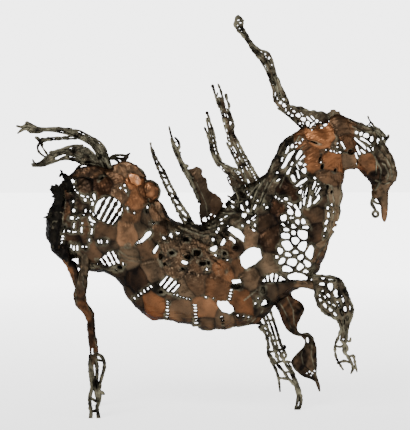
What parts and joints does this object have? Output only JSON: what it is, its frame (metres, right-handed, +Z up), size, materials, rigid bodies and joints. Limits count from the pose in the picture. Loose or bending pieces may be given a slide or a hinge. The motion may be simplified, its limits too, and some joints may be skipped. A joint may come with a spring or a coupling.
{
  "type": "scrap metal horse sculpture",
  "caption": "Standing horse built up from pierced copper plates and brazing-rod lace, with one foreleg raised, a drawn-out plume, tall mane spikes and a two-lock tail.",
  "frame": {"origin": "on the floor, under the middle of the sculpture's bounding box", "axes": "+X from tail to nose, +Y to the horse's left side, the one away from the picture's viewer, +Z up"},
  "size_m": [0.5704, 0.1176, 0.5955],
  "materials": {
    "copper_plate": "torch-patinated copper sheet, brown to orange, worn satin",
    "bronze_rod": "brazed bronze rod, blackened with grey-green patina",
    "dark_scrap": "burnt copper scrap, nearly black"
  },
  "bodies": {
    "root": {"body_shell": "copper_plate", "head": "copper_plate", "saddle_scrap": "copper_plate", "hind_leg_near": "copper_plate", "hind_leg_far": "copper_plate", "sheet_foreleg": "copper_plate", "forelock_twig": "bronze_rod", "crest_plume": "bronze_rod", "tail_upper_lock": "bronze_rod", "tail_lower_lock": "bronze_rod", "mane_spike_1": "bronze_rod", "mane_spike_2": "bronze_rod", "mane_spike_3": "bronze_rod", "mane_spike_4": "bronze_rod", "standing_foreleg": "bronze_rod", "raised_foreleg": "bronze_rod", "rump_scrap_1": "dark_scrap", "rump_scrap_2": "dark_scrap", "rump_scrap_3": "dark_scrap", "rump_bow": "dark_scrap"}
  },
  "joints": []
}
